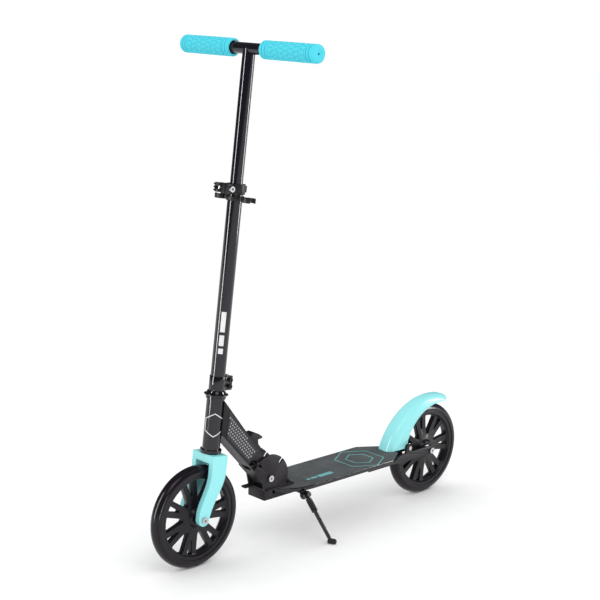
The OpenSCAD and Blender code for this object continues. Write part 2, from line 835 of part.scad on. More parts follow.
// ---- Fork and steering column ----
// Side outline of a blade: it leaves the crown on the steering axis and sweeps forward to the axle
module blade_side() {
    steps = 12;
    front = [for (i = [0:steps]) let (t = i / steps, z = crown_z * t) [blade_x(z) + blade_half(t), z]];
    back = [for (i = [0:steps]) let (t = i / steps, z = crown_z * t) [blade_x(z) - blade_half(t), z]];
    polygon(concat(front, [[blade_half(1), crown_top], [-blade_half(1), crown_top]],
        [for (i = [steps:-1:0]) back[i]]));
}

function blade_x(z) = z > blade_sweep ? 0 : fork_offset * (1 + cos(180 * z / blade_sweep)) / 2;
function blade_half(t) = blade_end_r + (blade_top_w / 2 - blade_end_r) * pow(t, 0.6);

module fork() {
    corner = 7;
    half_x = blade_top_w / 2;
    column() color(turquoise) difference() {
        union() {
            mirrored_y() side_plate(blade_in, blade_out) union() {
                blade_side();
                translate([fork_offset, 0]) circle(r = blade_end_r);
            }
            translate([0, 0, crown_z]) linear_extrude(crown_h) {
                square([blade_top_w, 2 * (blade_out - corner)], center = true);
                square([blade_top_w - 2 * corner, 2 * blade_out], center = true);
                for (x = [-1, 1], y = [-1, 1]) translate([x * (half_x - corner), y * (blade_out - corner)])
                    circle(r = corner);
            }
        }
        translate([fork_offset, 0, 0]) rod_y(axle_d, -2 * blade_out, 2 * blade_out);
        translate([0, 0, crown_z - cut]) cylinder(d = steerer_d, h = crown_h + 2 * cut);
    }
}

module steerer() {
    column() color(silver) translate([0, 0, crown_z])
        tube_z(steerer_d, steerer_d - 2 * steerer_wall, steerer_top - crown_z);
}

// Flared dust cap and lock cone over the upper bearing
module lock_cone() {
    brim = cup_d + 6;
    column() color(black) translate([0, 0, upper_cup_top + gap]) rotate_extrude() polygon([[steerer_d / 2, 0],
        [brim / 2 - 1, 0], [brim / 2, 2], [brim / 2 - 1, 3], [column_d / 2 + 5, 4], [column_d / 2 + 3, 9 - gap],
        [steerer_d / 2, 9 - gap]]);
}

module steering_tube() {
    column() color(black) translate([0, 0, clamp_low]) tube_z(column_d, slide_tube_d + 2 * run_fit, column_l);
}

// Split collar with two ears, bored round the steering tube; ears point along dir
module split_collar(h, shell, ear_l, dir) {
    outer = column_d + 2 * shell;
    difference() {
        union() {
            cylinder(d = outer, h = h);
            translate([dir > 0 ? 0 : -outer / 2 - ear_l, -ear_half, 0])
                cube([outer / 2 + ear_l, 2 * ear_half, h]);
        }
        translate([0, 0, -cut]) cylinder(d = column_d, h = h + 2 * cut);
        translate([dir > 0 ? 0 : -outer, -slit / 2, -cut]) cube([outer + cut, slit, h + 2 * cut]);
    }
}

module head_clamp() {
    column() color(black) difference() {
        translate([0, 0, clamp_low]) split_collar(head_clamp_h, 1.5, 13, -1);
        for (z = [0.27, 0.73]) translate([clamp_bolt_x, 0, clamp_low + head_clamp_h * z])
            rod_y(clamp_bolt_d, -2 * ear_half, 2 * ear_half);
    }
}

module head_clamp_bolts() {
    column() color(silver) for (z = [0.27, 0.73]) translate([clamp_bolt_x, 0, clamp_low + head_clamp_h * z])
        difference() {
            union() {
                rod_y(clamp_bolt_d - 2 * run_fit, -ear_half - 2, ear_half);
                rod_y(8, ear_half, ear_half + 4);
            }
            translate([0, ear_half + 4 + cut, 0]) rotate([90, 0, 0]) cylinder(d = 4, h = 3 + cut, $fn = 6);
        }
}

// Collar that squeezes the steering tube onto the sliding tube
module height_clamp() {
    column() color(black) difference() {
        union() {
            translate([0, 0, height_clamp_low]) split_collar(height_clamp_h, clamp_shell, 9, 1);
            translate([0, 0, tube_top])
                tube_z(column_d + cut, slide_tube_d + 2 * run_fit, height_clamp_top - tube_top);
        }
        translate([0, -slit / 2, height_clamp_low - cut]) cube([3 * column_d, slit, height_clamp_h + 2 * cut]);
        translate([skewer_x, 0, skewer_z]) rod_y(skewer_d, -30, 30);
    }
}

// Skewer with a round ringed head on the left
module clamp_skewer() {
    column() translate([skewer_x, 0, skewer_z]) color(silver) difference() {
        union() {
            rod_y(skewer_d - 2 * run_fit, cam_y + gap, ear_half);
            rod_y(11, ear_half, ear_half + 5);
        }
        translate([0, ear_half + 5 + cut, 0]) rotate([90, 0, 0]) cylinder(d = 6, h = 4 + cut, $fn = 6);
    }
}

// Barrel pin that the skewer screws into; the quick lever turns on it
module cam_pin() {
    column() translate([skewer_x, cam_y, skewer_z]) color(silver) difference() {
        cylinder(d = cam_pin_d, h = 18, center = true);
        rod_y(skewer_d, 0, cam_pin_d);
    }
}

// Quick lever: a ribbed cam head and an arm that curves round behind the collar
module clamp_lever() {
    head_h = 17;
    arm_r = -cam_y + 3;
    inner_r = arm_r - 5;
    slot_half = skewer_d / 2 + gap;
    column() color(black) difference() {
        union() {
            translate([skewer_x, cam_y, skewer_z - head_h / 2]) cylinder(d = 19, h = head_h);
            translate([0, 0, skewer_z - 6]) intersection() {
                tube_z(2 * arm_r, 2 * inner_r, 12);
                linear_extrude(12) polygon(concat([[0, 0]], arc(2 * arm_r, -45, -188, 6)));
            }
            for (z = [-5.5, 0, 5.5]) translate([skewer_x, cam_y - 8, skewer_z + z]) rotate([0, 90, 0])
                cylinder(d = 4, h = 14, center = true);
        }
        translate([skewer_x, cam_y, skewer_z - head_h]) cylinder(d = cam_pin_d + 2 * run_fit, h = 2 * head_h);
        translate([skewer_x, cam_y, skewer_z - slot_half]) linear_extrude(2 * slot_half) union() {
            polygon(concat([[0, 0]], arc(20, 90, 90 - lever_turn, 5)));
            for (turn = [0, lever_turn]) rotate(-turn) translate([-slot_half, 0]) square([2 * slot_half, 20]);
        }
    }
}

// Ring on the steering tube with two C clips that hold the removed grips
module grip_holder() {
    clip_out = insert_d + 9;
    column() color(black) translate([0, 0, holder_low]) difference() {
        union() {
            cylinder(d = column_d + 6, h = holder_h);
            mirrored_y() {
                translate([-3, 0, 0]) cube([6, clip_at - insert_d / 2 - 1, holder_h]);
                translate([0, clip_at, 0]) cylinder(d = clip_out, h = holder_h);
            }
        }
        translate([0, 0, -cut]) cylinder(d = column_d, h = holder_h + 2 * cut);
        mirrored_y() translate([0, clip_at, -cut]) {
            cylinder(d = insert_d + clip_play, h = holder_h + 2 * cut);
            linear_extrude(holder_h + 2 * cut) polygon([[0, 0], [-16, 30], [16, 30]]);
        }
    }
}

// ---- Handlebar ----
module handlebar_tube() {
    low = tube_top - tube_in;
    column() color(black) difference() {
        translate([0, 0, low]) tube_z(slide_tube_d, slide_tube_d - 4, bar_z - low);
        translate([0, 0, bar_z]) rod_y(bar_d, -bar_w, bar_w);
    }
}

module cross_bar() {
    column() translate([0, 0, bar_z]) color(black) tube_y(bar_d, insert_d + 2 * run_fit, -tee_half, tee_half);
}

// Rubber grip with a flared rim, ring grooves and a closed domed end
module grip() {
    r = grip_d / 2;
    groove = 1.2;
    translate([0, grip_in, 0]) rotate([-90, 0, 0]) difference() {
        rotate_extrude() polygon(concat([[0, 0], [r - 3, 0], [r, 2.5], [r, 14], [r - groove, 15.5],
            [r - groove, 18], [r, 19.5], [r, grip_l - 21], [r - groove, grip_l - 19.5],
            [r - groove, grip_l - 17], [r, grip_l - 15.5]],
            [for (a = [0:15:90]) [r - 5 + 5 * cos(a), grip_l - 5 + 5 * sin(a)]], [[0, grip_l]]));
        translate([0, 0, -cut]) cylinder(d = insert_d, h = grip_l - 6 + cut);
        translate([0, 0, -cut]) cylinder(d = bar_d + 4, h = 6 + cut);
        translate([0, 0, grip_l - 3]) cylinder(d = 4, h = 3 + cut);
    }
}

// Steel insert that carries the grip and plugs into the cross bar
module insert() {
    from = tee_half - insert_depth;
    to = grip_in + grip_l - 6;
    difference() {
        union() {
            tube_y(insert_d, insert_d - 3, from, to);
            tube_y(bar_d, insert_d - 3, tee_half + gap / 2, grip_in + 5);
        }
        translate([0, button_y, 0]) cylinder(d = button_d + 2 * run_fit, h = bar_d);
    }
}

// Spring button in the insert's collar
module button() {
    translate([0, button_y, bar_d / 2 - 4]) {
        cylinder(d = button_d, h = 5);
        translate([0, 0, 5]) intersection() {
            sphere(d = button_d);
            cylinder(d = button_d, h = button_d);
        }
    }
}

module at_bar() {
    column() translate([0, 0, bar_z]) children();
}

module grip_left() { at_bar() color(turquoise) grip(); }
module insert_left() { at_bar() color(black) insert(); }
module button_left() { at_bar() color(silver) button(); }
module grip_right() { at_bar() color(turquoise) mirror([0, 1, 0]) grip(); }
module insert_right() { at_bar() color(black) mirror([0, 1, 0]) insert(); }
module button_right() { at_bar() color(silver) mirror([0, 1, 0]) button(); }

deck_plate();
grip_sheet();
front_box();
fold_bracket();
bracket_bolts();
pivot_bolt_set();
rear_arm_left();
rear_arm_right();
rear_axle_set();
rear_spacers();
fender_bolts();
brake_springs();
stand_bracket();
stand_bolt_set();
fender();
brake_pad();
stand_leg();
stand_spring();
stand_foot();
rear_tyre();
rear_rim();
rear_bearings();
rear_sleeve();
front_tyre();
front_rim();
front_bearings();
front_sleeve();
down_tube();
side_panel_left();
side_panel_right();
pivot_sleeve();
head_tube();
lower_cup();
upper_cup();
headset_bearings();
latch_pin();
latch_lever();
lock_pin();
latch_spring();
fork();
steerer();
lock_cone();
steering_tube();
head_clamp();
head_clamp_bolts();
height_clamp();
clamp_skewer();
cam_pin();
grip_holder();
front_axle_set();
front_spacers();
clamp_lever();
handlebar_tube();
cross_bar();
grip_left();
insert_left();
button_left();
grip_right();
insert_right();
button_right();
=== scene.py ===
"""Looks of a folding kick scooter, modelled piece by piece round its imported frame."""

import json
import math

import bpy
from bpy.props import FloatProperty, FloatVectorProperty, IntProperty, PointerProperty
from mathutils import Matrix, Vector

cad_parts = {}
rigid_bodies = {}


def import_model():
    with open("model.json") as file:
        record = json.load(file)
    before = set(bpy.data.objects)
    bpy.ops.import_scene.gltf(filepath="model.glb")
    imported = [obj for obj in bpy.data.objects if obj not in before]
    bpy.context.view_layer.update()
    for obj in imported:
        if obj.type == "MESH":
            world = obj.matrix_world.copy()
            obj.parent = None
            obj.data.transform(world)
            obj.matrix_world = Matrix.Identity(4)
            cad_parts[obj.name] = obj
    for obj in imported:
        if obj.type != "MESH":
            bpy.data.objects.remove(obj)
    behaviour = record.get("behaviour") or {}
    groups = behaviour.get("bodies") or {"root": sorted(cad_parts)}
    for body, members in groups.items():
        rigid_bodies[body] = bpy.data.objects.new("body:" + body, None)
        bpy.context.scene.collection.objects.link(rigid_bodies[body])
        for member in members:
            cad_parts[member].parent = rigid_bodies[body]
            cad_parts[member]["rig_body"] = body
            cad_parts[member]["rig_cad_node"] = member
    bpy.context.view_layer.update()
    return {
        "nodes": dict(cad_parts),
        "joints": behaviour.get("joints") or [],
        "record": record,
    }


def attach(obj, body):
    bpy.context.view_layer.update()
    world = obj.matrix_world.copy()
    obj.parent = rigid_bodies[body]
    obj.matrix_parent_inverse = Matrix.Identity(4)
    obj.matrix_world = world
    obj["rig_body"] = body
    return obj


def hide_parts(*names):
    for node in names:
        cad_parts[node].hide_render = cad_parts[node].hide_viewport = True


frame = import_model()

bl_info = {
    "name": "Kick Scooter Looks",
    "version": (1, 0, 0),
    "blender": (4, 5, 0),
    "location": "3D View > Sidebar > Scooter",
    "description": "Models the visible pieces of a folding kick scooter round its frame",
    "category": "Object",
}

MM = 0.001
JOINTS = {j["name"]: j for j in frame["joints"]}


def frame_at(origin, up, left):
    """Matrix of a frame at origin whose Z is up and whose Y is the rider's left."""
    z = Vector(up).normalized()
    y = Vector(left).normalized()
    x = y.cross(z)
    turned_frame = Matrix((x, y, z)).transposed().to_4x4()
    turned_frame.translation = Vector(origin)
    return turned_frame


# Frames taken from the joints: every piece is drawn upright in one of them and then put in place
LEFT = Vector(JOINTS["front_wheel_spin"]["axis"])
UP = Vector((1, 0, 0)).cross(LEFT)
FRONT_AXLE = frame_at(JOINTS["front_wheel_spin"]["pos_m"], UP, LEFT)
REAR_AXLE = frame_at(JOINTS["rear_wheel_spin"]["pos_m"], UP, LEFT)
PIVOT = frame_at(JOINTS["stem_fold"]["pos_m"], UP, LEFT)
COLUMN = frame_at(JOINTS["steer"]["pos_m"], JOINTS["steer"]["axis"], LEFT)


def span(node, place, axis):
    """Lowest and highest value of a CAD node along one axis of a frame."""
    back = place.inverted()
    values = [(back @ v.co)[axis] for v in frame["nodes"][node].data.vertices]
    return min(values), max(values)


WHEEL_R = span("front_tyre", FRONT_AXLE, 2)[1]
TYRE_HALF = span("front_tyre", FRONT_AXLE, 1)[1]
RIM_R = span("front_rim", FRONT_AXLE, 2)[1]
HUB_HALF = span("front_rim", FRONT_AXLE, 1)[1]
GRIP_IN, GRIP_OUT = span("grip_left", COLUMN, 1)
GRIP_R = (span("grip_left", COLUMN, 0)[1] - span("grip_left", COLUMN, 0)[0]) / 2
BAR_Z = sum(span("cross_bar", COLUMN, 2)) / 2
DECK_TOP = span("grip_sheet", REAR_AXLE, 2)[1]
HEAD_LOW, HEAD_TOP = span("head_tube", COLUMN, 2)
HEAD_R = span("head_tube", COLUMN, 1)[1]


class ScooterSizes(bpy.types.PropertyGroup):
    """Sizes of the modelled detail."""

    spokes: IntProperty(name="Spokes", description="Forked spokes in each wheel", default=7, min=5, max=9)
    edge: FloatProperty(name="Edge round", description="Radius of the softened metal edges",
                        default=0.9 * MM, subtype="DISTANCE", unit="LENGTH")
    mark_line: FloatProperty(name="Mark line", description="Width of the printed lines",
                             default=2.2 * MM, subtype="DISTANCE", unit="LENGTH")
    grip_rows: IntProperty(name="Grip rows", description="Rows of raised blocks along each grip", default=7)
    grip_blocks: IntProperty(name="Grip blocks", description="Raised blocks round each grip", default=12)
    panel_pitch: FloatProperty(name="Panel pitch", description="Spacing of the panels' triangles",
                               default=6.5 * MM, subtype="DISTANCE", unit="LENGTH")


class ScooterColours(bpy.types.PropertyGroup):
    """Colours of the finishes."""

    plastic: FloatVectorProperty(name="Plastic", description="Fork and fender", subtype="COLOR",
                                 default=(0.090, 0.42, 0.51), size=3)
    rubber: FloatVectorProperty(name="Rubber", description="Grips", subtype="COLOR",
                                default=(0.014, 0.27, 0.41), size=3)
    gloss: FloatVectorProperty(name="Gloss black", description="Tubes", subtype="COLOR",
                               default=(0.006, 0.004, 0.009), size=3)
    satin: FloatVectorProperty(name="Satin charcoal", description="Bracket and down tube", subtype="COLOR",
                               default=(0.015, 0.012, 0.016), size=3)
    deck: FloatVectorProperty(name="Deck grit", description="Standing surface", subtype="COLOR",
                              default=(0.070, 0.080, 0.084), size=3)


# ---- Finishes ----
def finish(name, colour, rough, metal=0.0, coat=0.0, grain=400.0, bump=0.03, mottle=0.08, scratch=0.0,
           shine=0.5):
    """Procedural finish: mottled colour, uneven roughness and a fine grain, all on Object coordinates."""
    made = bpy.data.materials.get(name)
    if made:
        return made
    made = bpy.data.materials.new(name)
    made.use_nodes = True
    tree = made.node_tree
    shader = tree.nodes["Principled BSDF"]
    shader.inputs["Metallic"].default_value = metal
    shader.inputs["Specular IOR Level"].default_value = shine
    shader.inputs["Coat Weight"].default_value = coat
    shader.inputs["Coat Roughness"].default_value = 0.08
    place = tree.nodes.new("ShaderNodeTexCoord")
    cloud = tree.nodes.new("ShaderNodeTexNoise")
    cloud.inputs["Scale"].default_value = 26.0
    cloud.inputs["Detail"].default_value = 6.0
    fine = tree.nodes.new("ShaderNodeTexNoise")
    fine.inputs["Scale"].default_value = grain
    fine.inputs["Detail"].default_value = 4.0
    for pattern in (cloud, fine):
        tree.links.new(place.outputs["Object"], pattern.inputs["Vector"])
    shades = tree.nodes.new("ShaderNodeValToRGB")
    shades.color_ramp.elements[0].color = [c * (1 - mottle) for c in colour] + [1]
    shades.color_ramp.elements[1].color = [min(1, c * (1 + mottle)) for c in colour] + [1]
    shades.color_ramp.elements[0].position, shades.color_ramp.elements[1].position = 0.35, 0.65
    tree.links.new(cloud.outputs["Fac"], shades.inputs["Fac"])
    tree.links.new(shades.outputs["Color"], shader.inputs["Base Color"])
    gloss = tree.nodes.new("ShaderNodeMapRange")
    gloss.inputs["To Min"].default_value = max(0.03, rough - 0.05 - scratch)
    gloss.inputs["To Max"].default_value = min(1.0, rough + 0.07 + scratch)
    tree.links.new(fine.outputs["Fac"], gloss.inputs["Value"])
    tree.links.new(gloss.outputs["Result"], shader.inputs["Roughness"])
    relief = tree.nodes.new("ShaderNodeBump")
    relief.inputs["Strength"].default_value = bump
    relief.inputs["Distance"].default_value = 0.0004
    tree.links.new(fine.outputs["Fac"], relief.inputs["Height"])
    tree.links.new(relief.outputs["Normal"], shader.inputs["Normal"])
    return made


def turquoise_plastic():
    return finish("turquoise_plastic", bpy.context.scene.scooter_colours.plastic, 0.24, coat=0.35,
                  bump=0.05)


def turquoise_rubber():
    return finish("turquoise_rubber", bpy.context.scene.scooter_colours.rubber, 0.52, grain=900, bump=0.2)


def gloss_black():
    return finish("gloss_black", bpy.context.scene.scooter_colours.gloss, 0.1, coat=0.45, grain=700,
                  bump=0.01, shine=0.3)


def satin_charcoal():
    return finish("satin_charcoal", bpy.context.scene.scooter_colours.satin, 0.42, grain=1300, bump=0.12,
                  shine=0.25)


def deck_grit():
    return finish("deck_grit", bpy.context.scene.scooter_colours.deck, 0.8, grain=1900, bump=0.9,
                  mottle=0.16)


def tyre_black():
    return finish("tyre_black", (0.008, 0.005, 0.009), 0.24, coat=0.12, grain=500, bump=0.06, shine=0.25)


def rim_black():
    return finish("rim_black", (0.008, 0.006, 0.009), 0.3, coat=0.1, grain=900, bump=0.08, shine=0.25)


def plated_steel():
    return finish("plated_steel", (0.55, 0.55, 0.57), 0.24, metal=1, grain=1500, bump=0.06, scratch=0.04)


def blackened():
    return finish("blackened_steel", (0.022, 0.02, 0.023), 0.34, metal=0.4, grain=1300, bump=0.08)


def plain_aluminium():
    return finish("plain_aluminium", (0.6, 0.61, 0.62), 0.32, metal=1, grain=1100, bump=0.05, scratch=0.05)


def black_nylon():
    return finish("black_nylon", (0.012, 0.011, 0.013), 0.38, grain=1200, bump=0.14, shine=0.3)


def grey_nylon():
    return finish("grey_nylon", (0.18, 0.18, 0.19), 0.45, grain=1200, bump=0.12)


def black_rubber():
    return finish("black_rubber", (0.014, 0.014, 0.015), 0.65, grain=900, bump=0.25)


def white_print():
    return finish("white_print", (0.72, 0.72, 0.74), 0.4, grain=1600, bump=0.03)


def mint_print():
    return finish("mint_print", (0.13, 0.42, 0.42), 0.6, grain=1700, bump=0.5)


def panel_print():
    return finish("panel_print", (0.33, 0.33, 0.34), 0.4, grain=1500, bump=0.1)


# ---- Making ----
def deselect():
    if bpy.context.object and bpy.context.object.mode != "OBJECT":
        bpy.ops.object.mode_set(mode="OBJECT")
    bpy.ops.object.select_all(action="DESELECT")


def pick(piece):
    deselect()
    piece.select_set(True)
    bpy.context.view_layer.objects.active = piece


def close_up(piece, merge=0.00001):
    """Merges doubled points and turns every face outwards."""
    pick(piece)
    bpy.ops.object.mode_set(mode="EDIT")
    bpy.ops.mesh.select_all(action="SELECT")
    bpy.ops.mesh.remove_doubles(threshold=merge)
    bpy.ops.mesh.normals_make_consistent(inside=False)
    bpy.ops.object.mode_set(mode="OBJECT")


def apply_modifiers(piece):
    pick(piece)
    for modifier in list(piece.modifiers):
        bpy.ops.object.modifier_apply(modifier=modifier.name)


def round_edges(piece, width, segments=2, angle=math.radians(32)):
    bevel = piece.modifiers.new("round", "BEVEL")
    bevel.width, bevel.segments, bevel.angle_limit = width, segments, angle
    bevel.limit_method = "ANGLE"
    apply_modifiers(piece)


def settle(piece, name, place, body, slot_name, material, *replaced, smooth=math.radians(35)):
    """Puts a finished piece in its place in the mesh and fastens it to its body."""
    piece.name = piece.data.name = name
    piece.data.transform(place @ piece.matrix_world)
    piece.matrix_world = Matrix.Identity(4)
    close_up(piece)
    bpy.ops.object.shade_smooth_by_angle(angle=smooth)
    piece.data.materials.clear()
    piece.data.materials.append(material)
    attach(piece, body)
    if replaced:
        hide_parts(*replaced)
    return piece


def turned(outline, segments=96, closed=True):
    """Lathe work: a circle is extruded and resized from point to point of an (r, z) outline, about Z."""
    first_r, first_z = outline[0]
    deselect()
    bpy.ops.mesh.primitive_circle_add(vertices=segments, radius=first_r, location=(0, 0, first_z))
    piece = bpy.context.object
    bpy.ops.object.transform_apply(location=True, rotation=False, scale=False)
    bpy.ops.object.mode_set(mode="EDIT")
    bpy.ops.mesh.select_all(action="SELECT")
    r, z = first_r, first_z
    for next_r, next_z in (outline[1:] + outline[:1] if closed else outline[1:]):
        bpy.ops.mesh.extrude_region_move(TRANSFORM_OT_translate={"value": (0, 0, next_z - z)})
        bpy.ops.transform.resize(value=(next_r / r, next_r / r, 1), center_override=(0, 0, next_z))
        r, z = next_r, next_z
    bpy.ops.object.mode_set(mode="OBJECT")
    close_up(piece)
    return piece


def arc(centre_r, centre_z, radius, start, end, steps):
    """Points of an arc in a turned outline, angles in degrees from the outward direction."""
    turns = [math.radians(start + (end - start) * i / steps) for i in range(steps + 1)]
    return [(centre_r + radius * math.cos(a), centre_z + radius * math.sin(a)) for a in turns]


def copy_of(piece):
    made = piece.copy()
    made.data = piece.data.copy()
    bpy.context.scene.collection.objects.link(made)
    return made


def joined(pieces):
    deselect()
    for piece in pieces:
        piece.select_set(True)
    bpy.context.view_layer.objects.active = pieces[0]
    if len(pieces) > 1:
        bpy.ops.object.join()
    return bpy.context.object


def select_where(piece, test):
    """Selects, in edit mode, only the vertices whose place passes the test."""
    bpy.ops.object.mode_set(mode="OBJECT")
    for part in (*piece.data.polygons, *piece.data.edges):
        part.select = False
    for vertex in piece.data.vertices:
        vertex.select = test(vertex.co)
    bpy.ops.object.mode_set(mode="EDIT")
    bpy.ops.mesh.select_mode(type="VERT")


def cut_away(piece, cutter, operation="DIFFERENCE"):
    hole = piece.modifiers.new("cut", "BOOLEAN")
    hole.operation, hole.solver, hole.object = operation, "EXACT", cutter
    apply_modifiers(piece)
    bpy.data.objects.remove(cutter)


def softened(node, body, slot_name, material, width, segments=2):
    """A merged copy of a CAD node with its edges rounded, standing for that node."""
    source = frame["nodes"][node]
    piece = source.copy()
    piece.data = source.data.copy()
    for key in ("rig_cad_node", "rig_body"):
        if key in piece:
            del piece[key]
    piece.parent = None
    piece.matrix_world = Matrix.Identity(4)
    bpy.context.scene.collection.objects.link(piece)
    pick(piece)
    bpy.ops.object.mode_set(mode="EDIT")
    bpy.ops.mesh.select_all(action="SELECT")
    bpy.ops.mesh.remove_doubles(threshold=0.00001)
    bpy.ops.mesh.dissolve_limited(angle_limit=math.radians(1))
    bpy.ops.object.mode_set(mode="OBJECT")
    round_edges(piece, width, segments)
    return settle(piece, node + "_shell", Matrix.Identity(4), body, slot_name, material, node)


def lying_along_y():
    """Turns a lathe piece drawn about Z so that it lies along Y."""
    return Matrix.Rotation(-math.pi / 2, 4, "X")


def hexagon_line(radius, line, height):
    """Flat six-sided outline, a printed line of the mark."""
    return turned([(radius, 0), (radius - line, 0), (radius - line, height), (radius, height)], segments=6)


# ---- Pieces ----
class Wheels(bpy.types.Operator):
    """Tyres and forked-spoke rims"""

    bl_idname = "scooter.wheels"
    bl_label = "Wheels"

    def tyre(self):
        """Round tread with a shallow groove round each shoulder."""
        round_r = TYRE_HALF
        centre = WHEEL_R - round_r
        flat = RIM_R - 0.2 * MM
        low = math.degrees(math.acos((flat - centre) / round_r))
        groove_r = round_r - 0.7 * MM
        wall, groove_out, groove_in, tread = 62, 59, 54, 51
        outline = arc(centre, 0, round_r, -low, -wall, 7)
        outline += arc(centre, 0, groove_r, -groove_out, -groove_in, 1)
        outline += arc(centre, 0, round_r, -tread, tread, 16)
        outline += arc(centre, 0, groove_r, groove_in, groove_out, 1)
        outline += arc(centre, 0, round_r, wall, low, 7)
        return turned(outline, segments=128)

    def window(self, inner, outer, inner_half, outer_half, corner, turn):
        """Cutter for one window: a wedge that widens towards the band, its corners rounded."""
        deselect()
        bpy.ops.mesh.primitive_plane_add(size=2)
        cutter = bpy.context.object
        bpy.ops.object.mode_set(mode="EDIT")
        bpy.ops.mesh.select_all(action="SELECT")
        bpy.ops.transform.resize(value=((outer - inner) / 2, outer_half, 1), center_override=(0, 0, 0))
        select_where(cutter, lambda co: co.x < 0)
        bpy.ops.transform.resize(value=(1, inner_half / outer_half, 1), center_override=(0, 0, 0))
        for end, size in ((-1, 0.9 * inner_half), (1, corner)):
            select_where(cutter, lambda co: co.x * end > 0.9 * (outer - inner) / 2)
            bpy.ops.mesh.bevel(offset=size, segments=5, affect="VERTICES")
        bpy.ops.mesh.select_all(action="SELECT")
        bpy.ops.transform.translate(value=((inner + outer) / 2, 0, -1.3 * TYRE_HALF))
        bpy.ops.mesh.extrude_region_move(TRANSFORM_OT_translate={"value": (0, 0, 2.6 * TYRE_HALF)})
        bpy.ops.mesh.select_all(action="SELECT")
        bpy.ops.transform.rotate(value=-turn, orient_axis="Z", center_override=(0, 0, 0))
        bpy.ops.object.mode_set(mode="OBJECT")
        close_up(cutter)
        return cutter

    def rim(self, spokes):
        band_in, band_half = RIM_R - 9 * MM, TYRE_HALF - 1.5 * MM
        bore, hub_r, web = 9.2 * MM, 17 * MM, 5.5 * MM
        outline = [(bore, -HUB_HALF), (hub_r - MM, -HUB_HALF), (hub_r, -HUB_HALF + MM),
                   (hub_r + 3 * MM, -web - 2 * MM), (0.55 * RIM_R, -web), (band_in - 2 * MM, -web),
                   (band_in, -web - 2 * MM), (band_in + 1.5 * MM, -band_half), (RIM_R, -band_half)]
        outline += [(r, -z) for r, z in reversed(outline)]
        rim = turned(outline, segments=112)
        step = 2 * math.pi / spokes
        reach = band_in - 1.5 * MM
        sector = 2 * reach * math.sin(step / 2)
        between_spokes = (31 * MM, band_in, 3.2 * MM, 0.27 * sector, 8 * MM)
        in_the_fork = (0.54 * RIM_R, band_in, 1.6 * MM, 0.105 * sector, 1.5 * MM)
        cutters = [self.window(*between_spokes, i * step) for i in range(spokes)]
        cutters += [self.window(*in_the_fork, (i + 0.5) * step) for i in range(spokes)]
        windows = joined(cutters)
        deselect()
        bpy.ops.mesh.primitive_cylinder_add(vertices=112, radius=reach, depth=4 * TYRE_HALF)
        cut_away(windows, bpy.context.object, "INTERSECT")
        cut_away(rim, windows)
        round_edges(rim, 0.8 * MM, 2, math.radians(40))
        return rim

    def execute(self, context):
        spokes = context.scene.scooter_sizes.spokes
        tyre, rim = self.tyre(), self.rim(spokes)
        for where, place in (("front", FRONT_AXLE), ("rear", REAR_AXLE)):
            wheel_place = place @ lying_along_y()
            body = where + "_wheel"
            settle(copy_of(tyre), where + "_tyre_tread", wheel_place, body, "tyre", tyre_black(),
                   where + "_tyre")
            settle(copy_of(rim), where + "_rim_spokes", wheel_place, body, "rim_plastic", rim_black(),
                   where + "_rim")
        for pattern in (tyre, rim):
            bpy.data.objects.remove(pattern)
        return {"FINISHED"}


class Fork(bpy.types.Operator):
    """Moulded fork with soft edges"""

    bl_idname = "scooter.fork"
    bl_label = "Fork"

    def execute(self, context):
        softened("fork", "steering", "turquoise_plastic", turquoise_plastic(), 3.2 * MM, 5)
        return {"FINISHED"}


class Fender(bpy.types.Operator):
    """Fender shell with softened edges"""

    bl_idname = "scooter.fender"
    bl_label = "Fender"

    def execute(self, context):
        softened("fender", "fender", "turquoise_plastic", turquoise_plastic(), 1.1 * MM, 3)
        return {"FINISHED"}


